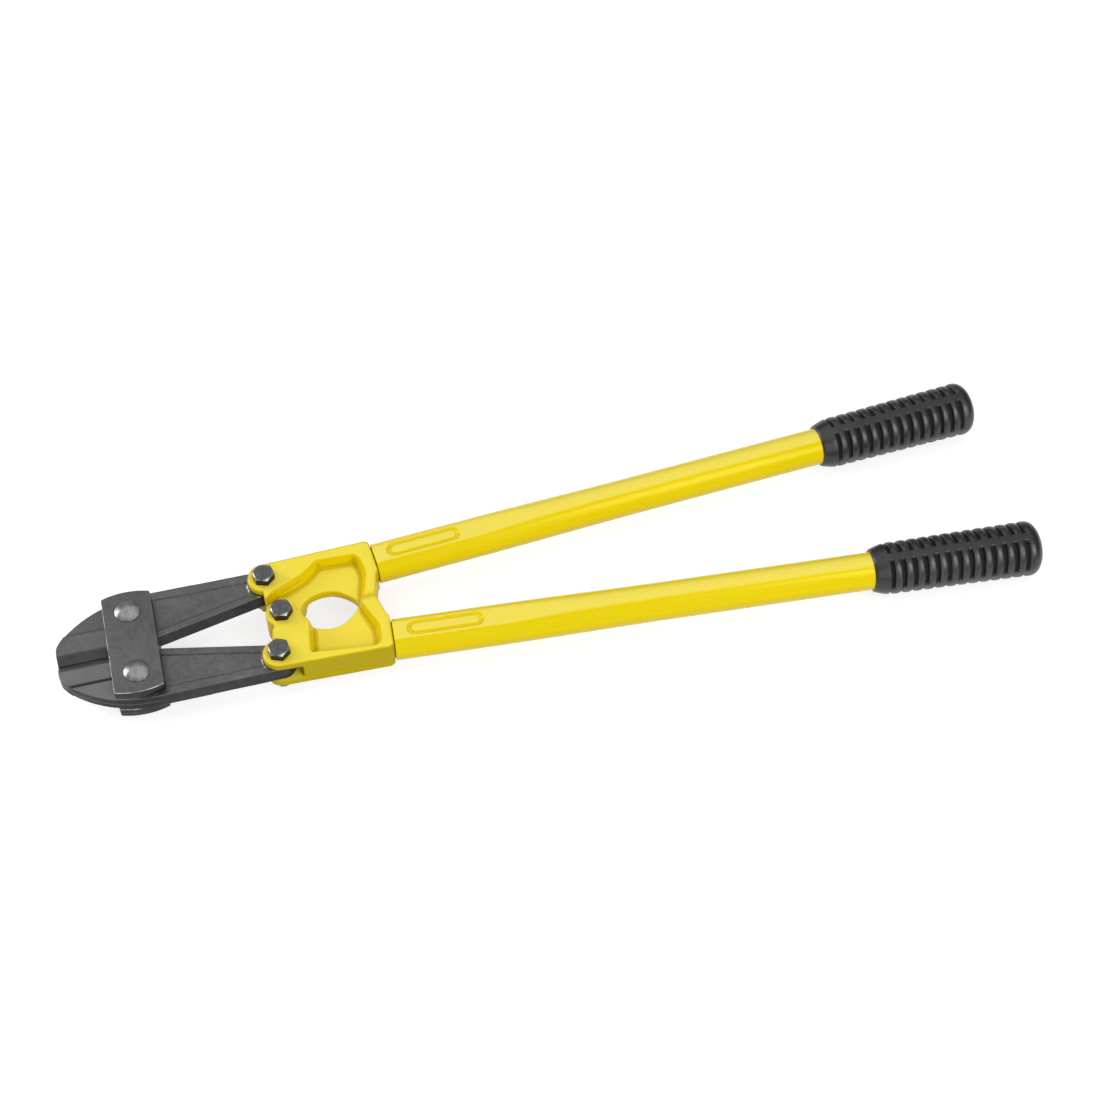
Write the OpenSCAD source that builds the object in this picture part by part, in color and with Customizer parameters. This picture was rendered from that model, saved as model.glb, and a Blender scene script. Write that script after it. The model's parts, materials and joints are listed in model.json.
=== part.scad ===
// Bolt cutter, 24 inch class: two forged blades between strap plates, driven through
// two cast handle ends that share a centre pivot, on steel tube handles with rubber grips.
// The origin is on the centre pivot's axis, at the level of the bolt ends that the tool
// lies on. +X runs from the pivot to the grips, +Y to the upper handle, +Z up.
// The upper handle and blade are modelled; the lower ones are the same pieces turned
// over about the X axis.

/* [Head] */
// Distance from the centre pivot back to the two jaw pivots
jaw_pivot_x = 95.5; // [88:0.5:110]
// Distance of each jaw pivot from the centre line
jaw_pivot_y = 23.5; // [21:0.5:28]
// Distance from the centre pivot to the blunt nose of the jaws
nose_x = 144.5; // [138:0.5:170]
// Thickness of the forged blades
blade_t = 11; // [8:0.5:14]
// Thickness of each strap plate
strap_t = 7.75; // [5:0.25:10]
// Width of the strap plates, along the tool
strap_w = 31.5; // [24:0.5:34]
// Length of the strap plates at their corners, across the tool
strap_l = 73; // [66:1:80]
// Rise of the curved strap ends beyond the corners
strap_crown = 2.6; // [1:0.1:5]
// Radius of the round eye at each blade's tail
eye_r = 9.5; // [8:0.25:10]
// Depth of the forged pockets in the blade arms
arm_pocket_d = 0.9; // [0.3:0.1:2]

/* [Castings] */
// Distance from the centre pivot back to the two blade pivots
blade_pivot_x = 6.5; // [4:0.5:9]
// Distance of each blade pivot from the centre line
blade_pivot_y = 30; // [28:0.5:33]
// Full thickness of the cast handle ends
cast_t = 22.5; // [20:0.5:28]
// Thickness of the web inside the cast pockets
web_t = 7; // [4:0.5:9]
// Radius of the cast ear around each blade pivot
ear_r = 10.8; // [10.4:0.2:12.4]
// Radius of the centre pivot's hub
hub_r = 10.4; // [9:0.2:11]
// Distance along the handle at which the casting ends and the tube starts
cast_end = 66; // [62:1:76]
// Centre of the window between the castings
window_x = 31; // [30:0.5:33]
// Length of the window
window_l = 37; // [30:1:38]
// Width of the window
window_w = 28.6; // [20:1:30]

/* [Handles] */
// Angle of each handle to the centre line when closed
handle_angle = 4.3; // [2:0.1:7]
// Distance of the handle's axis from the centre pivot, measured across the tool
handle_offset = 26.1; // [24:0.5:29]
// Outside diameter of the handle tubes
tube_d = 25; // [22:0.5:30]
// Wall of the handle tubes
tube_wall = 2; // [1.5:0.25:3]
// Height of the tube where it is pressed flatter over the casting
tube_flat_h = 21.8; // [19:0.2:24]
// Distance from the centre pivot to the closed end of the grips
reach = 498; // [380:0.5:620]
// Length of the rubber grips
grip_l = 115.5; // [90:0.5:150]
// Outside diameter of the grips over their first rib
grip_d = 34.2; // [30:0.2:40]
// How much wider the grips are at their closed end than at their first rib
grip_flare = 2.4; // [0:0.2:4]
// Number of grooves around each grip
grip_grooves = 13; // [8:1:16]

/* [Fasteners] */
// Shank diameter of the three hex pivot bolts
bolt_d = 8; // [6:0.5:10]
// Hex size across flats of bolt heads and nuts
hex_af = 13; // [11:0.5:15]
// Height of the hex heads
head_h = 5.8; // [4:0.1:7]
// Shoulder diameter of the two domed jaw bolts
jaw_bolt_d = 10; // [8:0.5:12]
// Diameter of the domed heads
dome_d = 17.2; // [14:0.2:20]
// Height of the domed heads
dome_h = 3.2; // [2:0.1:5]
// Height of the lock nuts
nut_h = 8; // [6:0.5:10]
// Thickness of the washers under the nuts
washer_t = 1.2; // [0.8:0.1:2]

/* [Hidden] */

$fn = 64;
steel = "dimgray";
yellow = "gold";
black = "#202022";
zinc = "darkgray";

// Clearances
run = 0.05;          // radial gap of a bolt in its bore
slide = 0.2;         // gap between flat faces that slide on each other
touch = 0.15;        // half the gap where closed jaws, stops and hubs meet
eps = 0.01;

// Levels, measured from the tool's middle plane
strap_in = blade_t / 2 + slide;
strap_out = strap_in + strap_t;
bolt_end = strap_out + washer_t + nut_h + 0.4;
lie_h = bolt_end;    // height of the middle plane above the surface the tool lies on

// Blade outline
jaw_r = 71.5;        // radius of the jaw's curved back
jaw_c = [7.5 - jaw_pivot_x, jaw_pivot_y - 54.7];
nose_r = 9;
v_x = 3.5;           // the blades part this far in front of their pivots
step_y = 19.7;       // edge of the raised ground band along the cutting edge
bevel_y = 6.5;       // where the steep bevel starts
band_drop = 1;       // height of the ground band above the rest of the jaw
flank_drop = 1.1;    // fall of the ground band towards the bevel
edge_land = 0.5;     // half thickness left at the cutting edge
arm_y = 40.3;        // the arm's straight outer edge, where the jaw's back runs into it
arm_drop = 0.8;      // fall of that edge towards the tail
rim_out = 6;
rim_in = 5;
// The open pivot: the upper blade's hole is longer than its bolt needs, because the
// toggle is driven by fixed ratios and the true linkage is not quite proportional
slot_in = 3.9;
slot_out = 2.1;

// Casting
cast_h = cast_t / 2;
web_h = web_t / 2;
fork_h = blade_t / 2 + slide;
fork_x = 6.3;
edge_r = 3;          // rounding along the casting's outside
tang_l = 62;

// Tube
flat_r = tube_flat_h / 2;
flat_y = (tube_d - tube_flat_h) * PI / 4 + 0.4;
cast_half = flat_r + flat_y - 1.5; // half width of the casting's end, across the handle
flat_end = 130;
round_start = 235;
tube_gap = 0.4;      // dark joint between casting and tube
tube_end = reach - 5;
emboss_s = 100.5;
emboss_l = 50;
emboss_w = 9.5;
emboss_line = 2.2;
emboss_d = 0.8;

// Grip
collar_l = 10;
groove_start = 9.2;  // the first groove cuts into the collar's end
collar_d = tube_d + 4;
core_r = grip_d / 2 - 1.7;
dome_end = 9;
rib_l = (grip_l - groove_start - dome_end + 1.5) / grip_grooves;
groove_l = rib_l * 0.42;
spine_w = 6;

function eye() = [-blade_pivot_x, blade_pivot_y];
function pivot() = [-jaw_pivot_x, jaw_pivot_y];
function polar(c, r, a) = [c[0] + r * cos(a), c[1] + r * sin(a)];
function along(s, t) = [s * cos(handle_angle) - t * sin(handle_angle),
  handle_offset + s * sin(handle_angle) + t * cos(handle_angle)];
// Angle of the straight inner edge: from the point where the blades part to the eye
function inner_a() = let (d = eye() - [v_x0(), 0])
  atan2(d[1], d[0]) - asin(eye_r / norm(d));
function v_x0() = -jaw_pivot_x - v_x;
function inner_y(x) = (x - v_x0()) * tan(inner_a());
function outer_y(x) = arm_y - arm_drop * (x + 86) / 78;

// Turns a piece of the upper half over about the X axis, for the lower half
module turn_over() {
  rotate([180, 0, 0])
    children();
}

// Raises the tool from its middle plane to where it lies
module lying() {
  translate([0, 0, lie_h])
    children();
}

// A handle's own frame: its axis along local Z, starting beside the centre pivot;
// local X is down through the thickness, local Y across the tool
module on_handle() {
  translate([0, handle_offset, 0])
    rotate([0, 0, handle_angle])
      rotate([0, 90, 0])
        children();
}

// ---------------------------------------------------------------- blades

// Outline of a blade: nose, curved back, straight outer edge, eye, straight inner edge
module blade_outline() {
  back_a = asin((step_y - 2 - jaw_c[1]) / jaw_r);
  back = [for (a = [180 - back_a : -5 : 92]) polar(jaw_c, jaw_r, a)];
  nose = [for (a = [180 : -15 : 135]) polar([nose_r - nose_x, 9], nose_r, a)];
  tail = [for (a = [90 : -10 : inner_a() - 85]) polar(eye(), eye_r, a)];
  foot = polar(eye(), eye_r, inner_a() - 90);
  polygon(concat([[-nose_x, touch]], nose, back, [[-86, arm_y]], tail, [foot, [v_x0(), touch]]));
}

// What is ground away from one face: the jaw's back beside the band, the band's slope and
// the rounded bevel down to the cutting edge
module face_grind() {
  h = blade_t / 2;
  fall = h - flank_drop - edge_land;
  run_l = nose_x + eps - jaw_pivot_x - strap_w / 2 + 1;
  translate([-nose_x - eps, 0, 0])
    rotate([90, 0, 90]) {
      linear_extrude(run_l)
        polygon([[step_y, h - band_drop], [step_y, h + 1], [60, h + 1], [60, h - band_drop]]);
      linear_extrude(run_l)
        polygon(concat([[step_y, h], [bevel_y, h - flank_drop]],
          [for (k = [0.75 : -0.25 : 0]) [bevel_y * k, edge_land + fall * sin(70 * k) / sin(70)]],
          [[-1, edge_land], [-1, h + 1], [step_y, h + 1]]));
    }
}

// The long forged pocket in one face of the arm
module arm_pocket() {
  x0 = -jaw_pivot_x + strap_w / 2 - 4;
  x1 = -blade_pivot_x - ear_r - 0.8;
  translate([0, 0, blade_t / 2 - arm_pocket_d])
    linear_extrude(arm_pocket_d + 1)
      polygon([[x0, inner_y(x0) + rim_in + 1.5], [x0 + 3, inner_y(x0 + 3) + rim_in],
        [x1, inner_y(x1) + rim_in], [x1, outer_y(x1) - rim_out],
        [x0, outer_y(x0) - rim_out]]);
}

module blade(open_pivot) {
  difference() {
    translate([0, 0, -blade_t / 2])
      linear_extrude(blade_t)
        blade_outline();
    for (side = [0, 1])
      mirror([0, 0, side]) {
        face_grind();
        arm_pocket();
      }
    translate([eye()[0], eye()[1], -blade_t])
      cylinder(r = bolt_d / 2 + run, h = 2 * blade_t);
    if (open_pivot)
      pivot_slot();
    else
      translate([pivot()[0], pivot()[1], -blade_t])
        cylinder(r = jaw_bolt_d / 2 + run, h = 2 * blade_t);
  }
}

// The upper blade's long hole, hidden between the strap plates
module pivot_slot() {
  r = jaw_bolt_d / 2 + 0.6;
  translate([pivot()[0], pivot()[1], -blade_t]) {
    translate([0, -slot_in, 0])
      cylinder(r = r, h = 2 * blade_t);
    translate([0, slot_out, 0])
      cylinder(r = r, h = 2 * blade_t);
    translate([-r, -slot_in, 0])
      cube([2 * r, slot_in + slot_out, 2 * blade_t]);
  }
}

module upper_blade() {
  color(steel)
    lying()
      blade(true);
}

module lower_blade() {
  color(steel)
    lying()
      turn_over()
        blade(false);
}

// ---------------------------------------------------------------- straps

// A strap plate with crowned ends, from the middle plane outwards
module strap() {
  crown_r = (pow(strap_w / 2, 2) + pow(strap_crown, 2)) / (2 * strap_crown);
  crown_y = strap_l / 2 + strap_crown - crown_r;
  difference() {
    translate([-jaw_pivot_x, 0, strap_in])
      intersection() {
        translate([-strap_w / 2, -strap_l, 0])
          cube([strap_w, 2 * strap_l, strap_t]);
        translate([0, crown_y, 0])
          cylinder(r = crown_r, h = strap_t, $fn = 180);
        translate([0, -crown_y, 0])
          cylinder(r = crown_r, h = strap_t, $fn = 180);
      }
    for (side = [-1, 1])
      translate([-jaw_pivot_x, side * jaw_pivot_y, 0])
        cylinder(r = jaw_bolt_d / 2 + run, h = strap_out + 5);
  }
}

module strap_top() {
  color(steel)
    lying()
      strap();
}

module strap_bottom() {
  color(steel)
    lying()
      turn_over()
        strap();
}

// ---------------------------------------------------------------- castings

// Half of the window's outline, from its grip end round to its hub end: an ellipse drawn
// out to a point at the grip end and filled out at the hub end
function lens(a) = window_w / 2 * sin(a) * (1 + (cos(a) > 0 ? -0.38 : 0.15) * pow(cos(a), 2));
function window_arc() = [for (a = [4 : 8.6 : 176])
  [window_x + window_l / 2 * cos(a), lens(a)]];

// Outline of a casting without its hub
module casting_outline() {
  tip = window_x + window_l / 2;
  difference() {
    union() {
      translate(eye())
        circle(r = ear_r);
      polygon([eye() + [0, ear_r], along(cast_end - 3, cast_half), along(cast_end, cast_half - 2),
        along(cast_end, 1 - tube_half()), along(cast_end - 1.5, -0.4 - tube_half()),
        [cast_end - 4.6, touch], [tip + 0.6, touch], [window_x - window_l / 2 - 1, touch],
        [0, touch], [-8, 11.5], [-9, 17], eye()]);
    }
    polygon(concat([[tip, 0]], window_arc(), [[window_x - window_l / 2, 0]]));
  }
}

function tube_half() = flat_r + flat_y;

// Pocket with drafted walls, given by its rim at the face and its floor at the web, point
// for point. The walls run on past the face, and both outlines run on past the parting line.
module drafted_pocket(rim, floor) {
  n = len(rim);
  past = 1 / (cast_h - web_h);
  polyhedron(
    points = concat([for (p = floor) [p[0], p[1], web_h]],
      [for (i = [0 : n - 1]) let (q = rim[i] + (rim[i] - floor[i]) * past) [q[0], q[1], cast_h + 1]]),
    faces = concat([[for (i = [0 : n - 1]) i]], [[for (i = [n - 1 : -1 : 0]) n + i]],
      [for (i = [0 : n - 1]) let (k = (i + 1) % n) [i, n + i, n + k, k]]));
}

// The face away from the hub: the beam runs from the ear diagonally out to the outer
// wall and back along the stop block
module beam_face_pocket() {
  drafted_pocket(
    [[51.9, -6], [58.6, 17.2], [58.4, 24], [56.4, 31], [53.8, 34.3], [28.6, 35.3],
      [22.6, 30.2], [16.7, 26.4], [9.6, 23.1], [4, 20.5], [-2.2, 18.2], [-8.5, 13], [-16, -6]],
    [[48.6, -6], [55.3, 19], [55.2, 23.6], [53.8, 30], [51.9, 32.6], [29.8, 33.6],
      [24.6, 28.2], [19, 24], [11.4, 20], [5.4, 17.8], [-1, 16], [-7, 12], [-14.5, -6]]);
}

// The hub's face: ear, hub and outer wall frame a square pocket
module hub_face_pocket() {
  drafted_pocket(
    [[51.2, -6], [51.4, 5], [53.9, 10.9], [59, 23.6], [58.9, 33.6], [57.6, 37.2], [54.8, 39.1],
      [34.4, 37], [13, 34.4], [15, 18], [16.2, 13.6], [15.8, 9.8], [12.6, -6]],
    [[50, -6], [50.1, 4.3], [51.4, 9.6], [55.6, 22.1], [55.5, 32.6], [54.4, 35.4], [52.6, 37.2],
      [34.6, 35.3], [16, 33.2], [17.6, 18], [18.4, 13.6], [17.4, 9], [14, -6]]);
}

// Rounds the outside of a casting: a long slab with soft edges that holds all of it
module soft_slab() {
  hull()
    for (k = [0 : 3]) {
      a = k * 30;
      h = cast_h - edge_r + edge_r * sin(a);
      inset = edge_r - edge_r * cos(a);
      translate([0, 0, -h])
        linear_extrude(2 * h)
          polygon([[-70, -50], [-70, blade_pivot_y + ear_r + 0.3 - inset],
            eye() + [0, ear_r + 0.3 - inset], along(cast_end + 30, cast_half + 0.3 - inset),
            [cast_end + 30, -50]]);
    }
}

// The casting's body with a pocket in each face, on either side of the web
module casting_body() {
  intersection() {
    difference() {
      translate([0, 0, -cast_h])
        linear_extrude(cast_t)
          casting_outline();
      beam_face_pocket();
      mirror([0, 0, 1])
        hub_face_pocket();
    }
    soft_slab();
  }
}

// The tang that the tube is pressed onto
module tang() {
  r = flat_r - tube_wall - slide;
  on_handle()
    translate([0, 0, cast_end - 5])
      stadium(r, flat_y, tang_l + 5);
}

// Slot for the blade's tail, clear of it as it swings
module fork() {
  in_y = blade_pivot_y - eye_r - 1.2;
  translate([0, 0, -fork_h])
    linear_extrude(2 * fork_h)
      polygon([[fork_x, 70], [fork_x, in_y], [-5, in_y], [-30, in_y - 8], [-60, in_y - 8],
        [-60, 70]]);
}

module casting() {
  difference() {
    union() {
      casting_body();
      tang();
      translate([0, 0, -cast_h])
        cylinder(r = hub_r, h = cast_h - touch);
    }
    // room for the other casting's hub
    translate([0, 0, -touch])
      cylinder(r = hub_r + 2 * slide, h = cast_t);
    fork();
    translate([0, 0, -cast_t])
      cylinder(r = bolt_d / 2 + run, h = 2 * cast_t);
    translate([eye()[0], eye()[1], -cast_t])
      cylinder(r = bolt_d / 2 + run, h = 2 * cast_t);
  }
}

module upper_casting() {
  color(yellow)
    lying()
      casting();
}

module lower_casting() {
  color(yellow)
    lying()
      turn_over()
        casting();
}

// ---------------------------------------------------------------- tubes

// Bar with flat faces and round sides, along Z
module stadium(r, half_flat, l) {
  for (side = [-1, 1])
    translate([0, side * half_flat, 0])
      cylinder(r = r, h = l);
  translate([-r, -half_flat, 0])
    cube([2 * r, 2 * half_flat, l]);
}

// Solid of the tube's outside, or of its inside when inset by the wall
module tube_solid(inset, s0, s1) {
  translate([0, 0, s0])
    stadium(flat_r - inset, flat_y, flat_end - s0);
  hull() {
    for (side = [-1, 1])
      translate([0, side * flat_y, flat_end - 0.1])
        cylinder(r = flat_r - inset, h = 0.1, $fn = 48);
    translate([0, 0, round_start])
      cylinder(r = tube_d / 2 - inset, h = 0.1, $fn = 48);
  }
  translate([0, 0, round_start])
    cylinder(r = tube_d / 2 - inset, h = s1 - round_start);
}

// Round-ended bar of width w and length l lying along Z, used to press the groove
module obround(w, l, h) {
  rotate([0, -90, 0])
    translate([0, 0, -h / 2]) {
      for (side = [-1, 1])
        translate([side * (l - w) / 2, 0, 0])
          cylinder(r = w / 2, h = h);
      translate([-(l - w) / 2, -w / 2, 0])
        cube([l - w, w, h]);
    }
}

// Pressed outline on both flats, which locks the tube on the casting's tang
module crimp() {
  for (side = [-1, 1])
    translate([side * flat_r, 0, emboss_s])
      difference() {
        obround(emboss_w, emboss_l, 2 * emboss_d);
        obround(emboss_w - 2 * emboss_line, emboss_l - 2 * emboss_line, 4 * emboss_d);
      }
}

module tube() {
  on_handle()
    difference() {
      tube_solid(0, cast_end + tube_gap, tube_end);
      tube_solid(tube_wall, cast_end - 1, tube_end + 1);
      crimp();
    }
}

module upper_tube() {
  color(yellow)
    lying()
      tube();
}

module lower_tube() {
  color(yellow)
    lying()
      turn_over()
        tube();
}

// ---------------------------------------------------------------- grips

// Half section of the grip's body, of radius r at the collar: collar, body that widens
// backwards, rounded end
module grip_profile(r) {
  end_r = r + grip_flare / 2;
  polygon(concat([[0, 0], [collar_d / 2 - 1, 0], [collar_d / 2, 1], [r, collar_l]],
    [for (a = [0 : 15 : 90])
      [end_r - dome_end + dome_end * cos(a), grip_l - dome_end + dome_end * sin(a)]],
    [[0, grip_l]]));
}

module grip() {
  top_r = grip_d / 2;
  on_handle()
    translate([0, 0, reach - grip_l])
      difference() {
        union() {
          rotate_extrude()
            grip_profile(core_r);
          difference() {
            rotate_extrude()
              grip_profile(top_r);
            for (i = [0 : grip_grooves - 1])
              translate([0, 0, groove_start + i * rib_l])
                groove();
          }
        }
        translate([0, 0, -1])
          cylinder(r = tube_d / 2 + 2 * run, h = grip_l - 5 + 1 + 0.3);
      }
}

// One ring of windows between the four lengthwise spines
module groove() {
  difference() {
    cylinder(r = grip_d, h = groove_l);
    translate([-grip_d, -spine_w / 2, -1])
      cube([2 * grip_d, spine_w, groove_l + 2]);
    translate([-spine_w / 2, -grip_d, -1])
      cube([spine_w, 2 * grip_d, groove_l + 2]);
  }
}

module upper_grip() {
  color(black)
    lying()
      grip();
}

module lower_grip() {
  color(black)
    lying()
      turn_over()
        grip();
}

// ---------------------------------------------------------------- fasteners

// Hex prism with one chamfered face
module hex(af, h) {
  corner = af / sqrt(3);
  intersection() {
    cylinder(r = corner, h = h, $fn = 6);
    rotate_extrude()
      polygon([[0, 0], [corner, 0], [corner, h - 0.9], [af / 2 - 0.2, h], [0, h]]);
  }
}

// Hex pivot bolt through a fork: head on the top face, end at the level the tool lies on
module hex_bolt(turn) {
  translate([0, 0, cast_h])
    rotate([0, 0, turn])
      hex(hex_af, head_h);
  translate([0, 0, -bolt_end])
    cylinder(r = bolt_d / 2, h = bolt_end + cast_h + eps);
}

// Shoulder bolt with a domed head, through both strap plates
module dome_bolt() {
  ball_r = (pow(dome_d / 2, 2) + pow(dome_h, 2)) / (2 * dome_h);
  translate([0, 0, strap_out])
    intersection() {
      translate([0, 0, dome_h - ball_r])
        sphere(r = ball_r);
      cylinder(r = dome_d / 2 + 1, h = dome_h + 1);
    }
  translate([0, 0, -strap_out])
    cylinder(r = jaw_bolt_d / 2, h = 2 * strap_out + eps);
  translate([0, 0, -bolt_end])
    cylinder(r = bolt_d / 2, h = bolt_end);
}

// Lock nut under a face at height seat below the middle plane
module lock_nut(seat) {
  collar_h = nut_h * 0.25;
  difference() {
    translate([0, 0, -seat - washer_t])
      mirror([0, 0, 1]) {
        hex(hex_af, nut_h - collar_h);
        cylinder(r = hex_af * 0.43, h = nut_h);
      }
    translate([0, 0, -2 * bolt_end])
      cylinder(r = bolt_d / 2 + run, h = 2 * bolt_end);
  }
}

module washer(seat) {
  translate([0, 0, -seat - washer_t])
    difference() {
      cylinder(r = hex_af * 0.6, h = washer_t);
      translate([0, 0, -1])
        cylinder(r = bolt_d / 2 + run, h = washer_t + 2);
    }
}

module at_jaw(side) {
  lying()
    translate([-jaw_pivot_x, side * jaw_pivot_y, 0])
      children();
}

module at_blade(side) {
  lying()
    translate([-blade_pivot_x, side * blade_pivot_y, 0])
      children();
}

module upper_jaw_bolt() {
  color(zinc)
    at_jaw(1)
      dome_bolt();
}

module lower_jaw_bolt() {
  color(zinc)
    at_jaw(-1)
      dome_bolt();
}

module upper_jaw_nut() {
  color(zinc)
    at_jaw(1)
      lock_nut(strap_out);
}

module lower_jaw_nut() {
  color(zinc)
    at_jaw(-1)
      lock_nut(strap_out);
}

module upper_jaw_washer() {
  color(zinc)
    at_jaw(1)
      washer(strap_out);
}

module lower_jaw_washer() {
  color(zinc)
    at_jaw(-1)
      washer(strap_out);
}

module upper_blade_bolt() {
  color(steel)
    at_blade(1)
      hex_bolt(12);
}

module lower_blade_bolt() {
  color(steel)
    at_blade(-1)
      hex_bolt(8);
}

module centre_bolt() {
  color(steel)
    lying()
      hex_bolt(20);
}

module upper_blade_nut() {
  color(zinc)
    at_blade(1)
      lock_nut(cast_h);
}

module lower_blade_nut() {
  color(zinc)
    at_blade(-1)
      lock_nut(cast_h);
}

module centre_nut() {
  color(zinc)
    lying()
      lock_nut(cast_h + slide);
}

module upper_blade_washer() {
  color(zinc)
    at_blade(1)
      washer(cast_h);
}

module lower_blade_washer() {
  color(zinc)
    at_blade(-1)
      washer(cast_h);
}

module centre_washer() {
  color(zinc)
    lying()
      washer(cast_h + slide);
}

upper_blade();
lower_blade();
strap_top();
strap_bottom();
upper_jaw_bolt();
lower_jaw_bolt();
upper_jaw_nut();
lower_jaw_nut();
upper_jaw_washer();
lower_jaw_washer();
upper_casting();
lower_casting();
upper_tube();
lower_tube();
upper_grip();
lower_grip();
upper_blade_bolt();
lower_blade_bolt();
centre_bolt();
upper_blade_nut();
lower_blade_nut();
centre_nut();
upper_blade_washer();
lower_blade_washer();
centre_washer();
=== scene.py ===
import json
import math

import bmesh
import bpy
import numpy as np
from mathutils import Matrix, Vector


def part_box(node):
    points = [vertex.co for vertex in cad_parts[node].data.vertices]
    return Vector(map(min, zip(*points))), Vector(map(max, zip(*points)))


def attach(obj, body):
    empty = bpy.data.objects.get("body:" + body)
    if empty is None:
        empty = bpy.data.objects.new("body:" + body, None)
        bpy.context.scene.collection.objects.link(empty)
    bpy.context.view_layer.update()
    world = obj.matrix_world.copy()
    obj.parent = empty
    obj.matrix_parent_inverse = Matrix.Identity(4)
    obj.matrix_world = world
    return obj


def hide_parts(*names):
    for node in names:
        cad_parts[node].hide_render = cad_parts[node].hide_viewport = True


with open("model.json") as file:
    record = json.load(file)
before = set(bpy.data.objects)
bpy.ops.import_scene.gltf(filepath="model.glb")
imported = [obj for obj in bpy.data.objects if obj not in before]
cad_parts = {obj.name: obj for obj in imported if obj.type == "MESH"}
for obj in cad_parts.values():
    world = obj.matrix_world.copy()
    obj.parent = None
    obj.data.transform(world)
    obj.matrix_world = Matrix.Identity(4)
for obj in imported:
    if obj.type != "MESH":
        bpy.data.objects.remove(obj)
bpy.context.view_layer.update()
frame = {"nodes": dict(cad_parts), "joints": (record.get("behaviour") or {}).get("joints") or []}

MM = 0.001
TURN = 2 * math.pi
joint = {j["name"]: j for j in frame["joints"]}


def box_mm(node):
    lo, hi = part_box(node)
    return np.array(lo) / MM, np.array(hi) / MM


# ---------------------------------------------------------------- sizes, in mm
MID = joint["handle_open"]["pos_m"][2] / MM          # height of the tool's middle plane
BLADE_PIVOT = np.array(joint["upper_blade_swing"]["pos_m"][:2]) / MM
JAW_PIVOT = np.array(joint["strap_swing"]["pos_m"][:2]) / MM * [1, -1]
ANGLE = math.radians(4.3)                            # each handle to the centre line
OFFSET = 26.1                                        # handle axis beside the pivot
CAST_END = 66.0                                      # where the casting ends, along the handle
CAST_H = (box_mm("upper_casting")[1][2] - box_mm("upper_casting")[0][2]) / 2
EAR_R = 10.8                                         # cast ear round a blade pivot
STRAP_TOP = box_mm("strap_top")[1][2]
STRAP_LEFT = box_mm("strap_top")[0][0]
STRAP_CORNER = 36.5                                  # half the strap's length at its corners
HEX_AF = 13.0
HEAD_H = box_mm("centre_bolt")[1][2] - MID - CAST_H

TUBE_R = 12.5
TUBE_START = CAST_END + 0.65                         # leaves a dark joint to the casting
TUBE_END = 392.0                                     # inside the grip
FLAT_H = 10.9                                        # half height of the pressed end
FLAT_W = 13.8                                        # half width of the pressed end
OVAL_H = 12.25                                       # half height before its flats are cut
FLAT_START, FLAT_GONE, ROUND_START = 134, 222, 250   # pressed until, flat until, round from
RING_AT = 100.5                                      # middle of the pressed ring
RING_HALF = 19.4                                     # half its straight run
RING_R = 3.9                                         # from that run to the ring's middle line
RING_DEEP = 1.6

GRIP_LEN = 115.5
GRIP_END = 498.0
GRIP_TURN = math.radians(8.5)                        # how far the grips are twisted on the tubes
GRIP_MOUTH_R = 12.55
GRIP_DOME = 10                                       # length of the closed end's rounding
GROOVES = 13
GROOVE_FIRST, GROOVE_PITCH, GROOVE_WIDE, GROOVE_DEEP = 9.3, 7.6, 3.1, 2.2
SKIN_R = 17                                          # turns angles on the grip into mm


# ---------------------------------------------------------------- mesh helpers
def smooth(x, a, b):
    """A soft step from 0 at a to 1 at b."""
    t = np.clip((x - a) / (b - a), 0, 1)
    return t * t * (3 - 2 * t)


def bell(x, middle, width):
    return np.exp(-((x - middle) / width) ** 2)


def handle_point(s, t, z, side):
    """A point at s along a handle's axis, t across it and z above the middle plane."""
    x = s * math.cos(ANGLE) - t * math.sin(ANGLE)
    y = OFFSET + s * math.sin(ANGLE) + t * math.cos(ANGLE)
    return np.stack([x, side * y, side * z + MID], -1)


def round_steps(n):
    return np.linspace(0, TURN, n, endpoint=False)


def rings_of(rows, th):
    """Rings of points round the Z axis, from rows of (radius, height)."""
    return np.array([np.stack([r * np.cos(th), r * np.sin(th), z + 0 * th], -1) for r, z in rows])


def rows_of(me, what):
    """The places ("co") or normals ("normal") of a mesh's vertices, one in each row."""
    flat = np.zeros(len(me.vertices) * 3)
    me.vertices.foreach_get(what, flat)
    return flat.reshape(-1, 3)


def move_to(me, places):
    me.vertices.foreach_set("co", (places * MM).ravel())
    me.update()


def store(me, name, values):
    """Keeps one number at each vertex, which the materials read by name."""
    a = me.attributes.new(name, "FLOAT", "POINT")
    a.data.foreach_set("value", values.astype(np.float32))


def finish_mesh(name, me, mats, body, replaces, sharp):
    """Makes a piece of a mesh; edges that turn by more than sharp degrees stay crisp."""
    ob = bpy.data.objects.new(name, me)
    bpy.context.scene.collection.objects.link(ob)
    for m in mats:
        me.materials.append(m)
    me.polygons.foreach_set("use_smooth", [True] * len(me.polygons))
    if sharp:
        bm = bmesh.new()
        bm.from_mesh(me)
        limit = math.radians(sharp)
        for e in bm.edges:
            e.smooth = not (len(e.link_faces) == 2 and e.calc_face_angle(0.0) > limit)
        bm.to_mesh(me)
        bm.free()
    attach(ob, body)
    if replaces:
        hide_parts(*replaces)
    return ob


def place(ob, at, body):
    """Moves a piece to a point in mm, and seats it on its body again."""
    ob.location = Vector(np.array(at) * MM)
    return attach(ob, body)


def mesh_from(name, verts, faces):
    me = bpy.data.meshes.new(name)
    me.from_pydata((np.asarray(verts) * MM).tolist(), [], faces)
    me.validate()
    me.update()
    return me


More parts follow.
